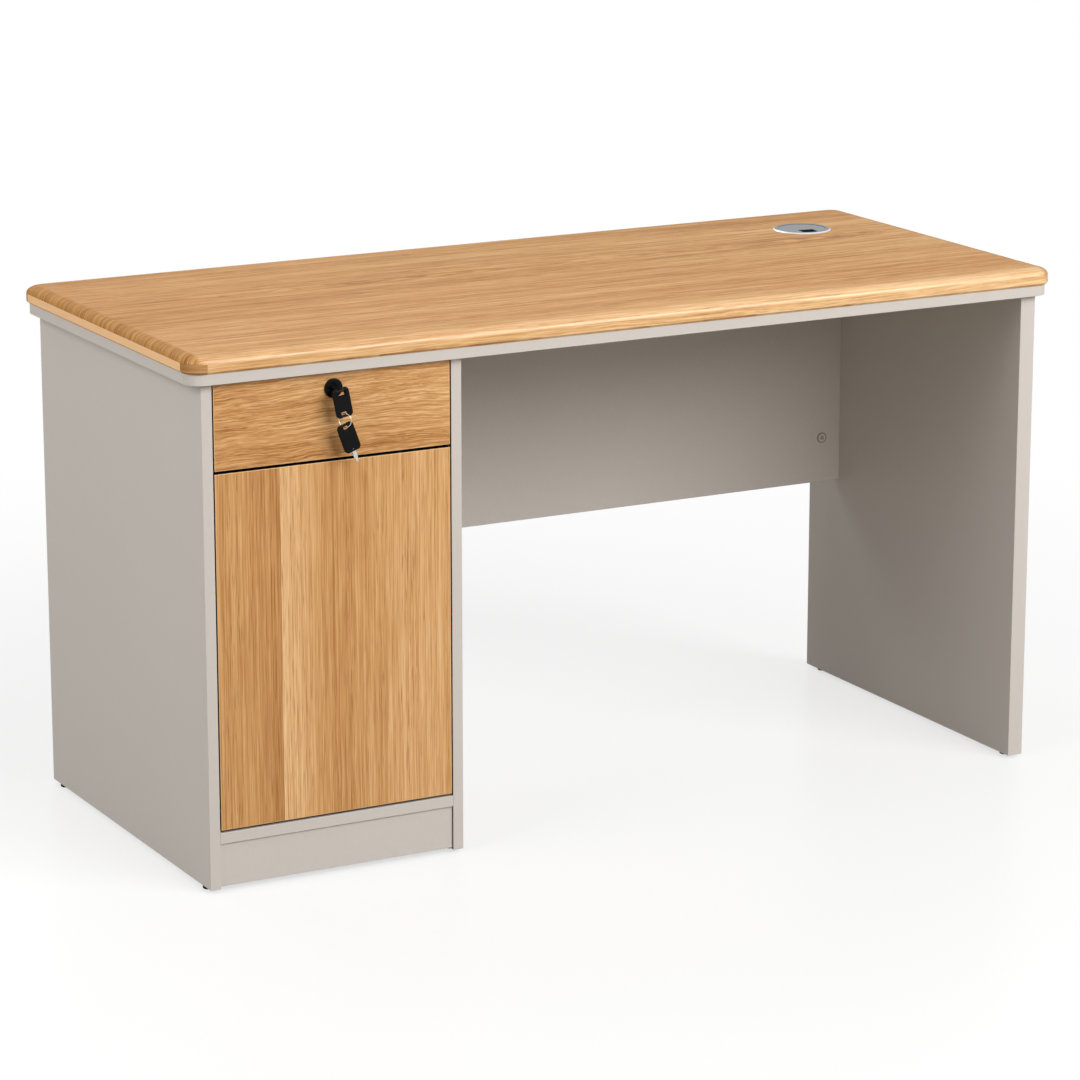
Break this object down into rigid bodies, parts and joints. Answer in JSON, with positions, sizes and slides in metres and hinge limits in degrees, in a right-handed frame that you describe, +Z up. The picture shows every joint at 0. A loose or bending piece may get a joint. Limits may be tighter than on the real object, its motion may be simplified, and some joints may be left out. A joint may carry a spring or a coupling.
{
  "type": "office desk",
  "caption": "Panel-end office desk with a woodgrain worktop, a side pedestal with a lockable drawer above a hinged door, a modesty panel and a cable grommet.",
  "frame": {"origin": "On the floor under the middle of the worktop's plan, so the desk stands on z = 0.", "axes": "+X to the sitter's right along the worktop's length, +Y from the sitter towards the back, +Z up."},
  "size_m": [1.4, 0.6244, 0.7616],
  "materials": {
    "oak_laminate": "satin oak woodgrain laminate",
    "grey_melamine": "warm grey melamine-faced board",
    "beech": "plain turned beech",
    "zinc_steel": "zinc-plated steel",
    "nickel": "nickel-plated steel",
    "black_plastic": "satin black moulded plastic",
    "grey_plastic": "grey moulded plastic",
    "silver_plastic": "silver-lacquered plastic"
  },
  "bodies": {
    "desk": {"worktop": "oak_laminate", "sub_top": "grey_melamine", "left_side_panel": "grey_melamine", "pedestal_inner_panel": "grey_melamine", "right_end_panel": "grey_melamine", "modesty_panel": "grey_melamine", "pedestal_bottom_panel": "grey_melamine", "pedestal_plinth": "grey_melamine", "pedestal_back_panel": "grey_melamine", "pedestal_divider": "grey_melamine", "foot_glides": "black_plastic", "wood_dowels": "beech", "worktop_screws": "zinc_steel", "modesty_screws": "zinc_steel", "modesty_cam": "nickel", "modesty_cam_bolt": "zinc_steel", "cam_cover_cap": "grey_plastic", "left_slide_outer": "zinc_steel", "right_slide_outer": "zinc_steel", "cabinet_screws": "zinc_steel", "upper_hinge_arm": "nickel", "lower_hinge_arm": "nickel", "upper_hinge_plate": "nickel", "lower_hinge_plate": "nickel", "push_latch_body": "black_plastic", "lock_strike": "zinc_steel", "grommet_liner": "silver_plastic"},
    "slide_middles": {"left_slide_middle": "zinc_steel", "right_slide_middle": "zinc_steel", "slide_balls": "nickel"},
    "drawer": {"drawer_front": "oak_laminate", "drawer_left_side": "grey_melamine", "drawer_right_side": "grey_melamine", "drawer_back": "grey_melamine", "drawer_bottom": "grey_melamine", "left_slide_inner": "zinc_steel", "right_slide_inner": "zinc_steel", "drawer_slide_screws": "zinc_steel", "drawer_dowels": "beech", "lock_housing": "black_plastic", "lock_nut": "zinc_steel"},
    "door": {"cabinet_door": "oak_laminate", "upper_hinge_cup": "nickel", "lower_hinge_cup": "nickel", "hinge_pins": "nickel", "hinge_cup_screws": "zinc_steel", "latch_strike": "zinc_steel"},
    "latch": {"latch_plunger": "grey_plastic"},
    "lock_plug": {"lock_plug": "black_plastic", "lock_cam": "zinc_steel", "lock_cam_screw": "zinc_steel", "key_blade": "black_plastic"},
    "key_head": {"key_head": "black_plastic", "key_pin": "nickel"},
    "key_ring": {"key_ring": "nickel"},
    "spare_key": {"spare_key_head": "black_plastic", "spare_key_blade": "nickel", "spare_key_pin": "nickel"},
    "grommet_cap": {"grommet_cap": "silver_plastic"}
  },
  "joints": [
    {"name": "drawer_slide", "type": "slide", "parent": "desk", "child": "drawer", "axis": [0, -1, 0], "range_m": [0, 0.4]},
    {"name": "slide_middle", "type": "slide", "parent": "desk", "child": "slide_middles", "axis": [0, -1, 0], "range_m": [0, 0.2]},
    {"name": "door_hinge", "type": "hinge", "parent": "desk", "child": "door", "pos_m": [-0.636, -0.281, 0.34125], "axis": [0, 0, -1], "range_deg": [0, 95]},
    {"name": "latch_push", "type": "slide", "parent": "desk", "child": "latch", "axis": [0, -1, 0], "range_m": [0, 0.0212]},
    {"name": "lock_turn", "type": "hinge", "parent": "drawer", "child": "lock_plug", "pos_m": [-0.48, -0.289, 0.695], "axis": [0, 1, 0], "range_deg": [0, 90]},
    {"name": "key_fold", "type": "hinge", "parent": "lock_plug", "child": "key_head", "pos_m": [-0.48, -0.311, 0.695], "axis": [-0.9816, 0, -0.1908], "range_deg": [0, 90]},
    {"name": "ring_hang", "type": "hinge", "parent": "key_head", "child": "key_ring", "pos_m": [-0.47315, -0.311, 0.65976], "axis": [-0.9816, 0, -0.1908], "range_deg": [-60, 0]},
    {"name": "spare_hang", "type": "hinge", "parent": "key_ring", "child": "spare_key", "pos_m": [-0.47315, -0.311, 0.64292], "axis": [0, 1, 0], "range_deg": [-70, 0]},
    {"name": "grommet_turn", "type": "hinge", "parent": "desk", "child": "grommet_cap", "pos_m": [0.543, 0.156, 0.76], "axis": [0, 0, 1], "continuous": true}
  ],
  "couplings": [
    {"joint": "slide_middle", "follows": "drawer_slide", "ratio": 0.5},
    {"joint": "latch_push", "follows": "door_hinge", "m_per_rad": 0.0127},
    {"joint": "ring_hang", "follows": "key_fold", "ratio": -0.66667},
    {"joint": "spare_hang", "follows": "lock_turn", "ratio": -0.77778}
  ]
}
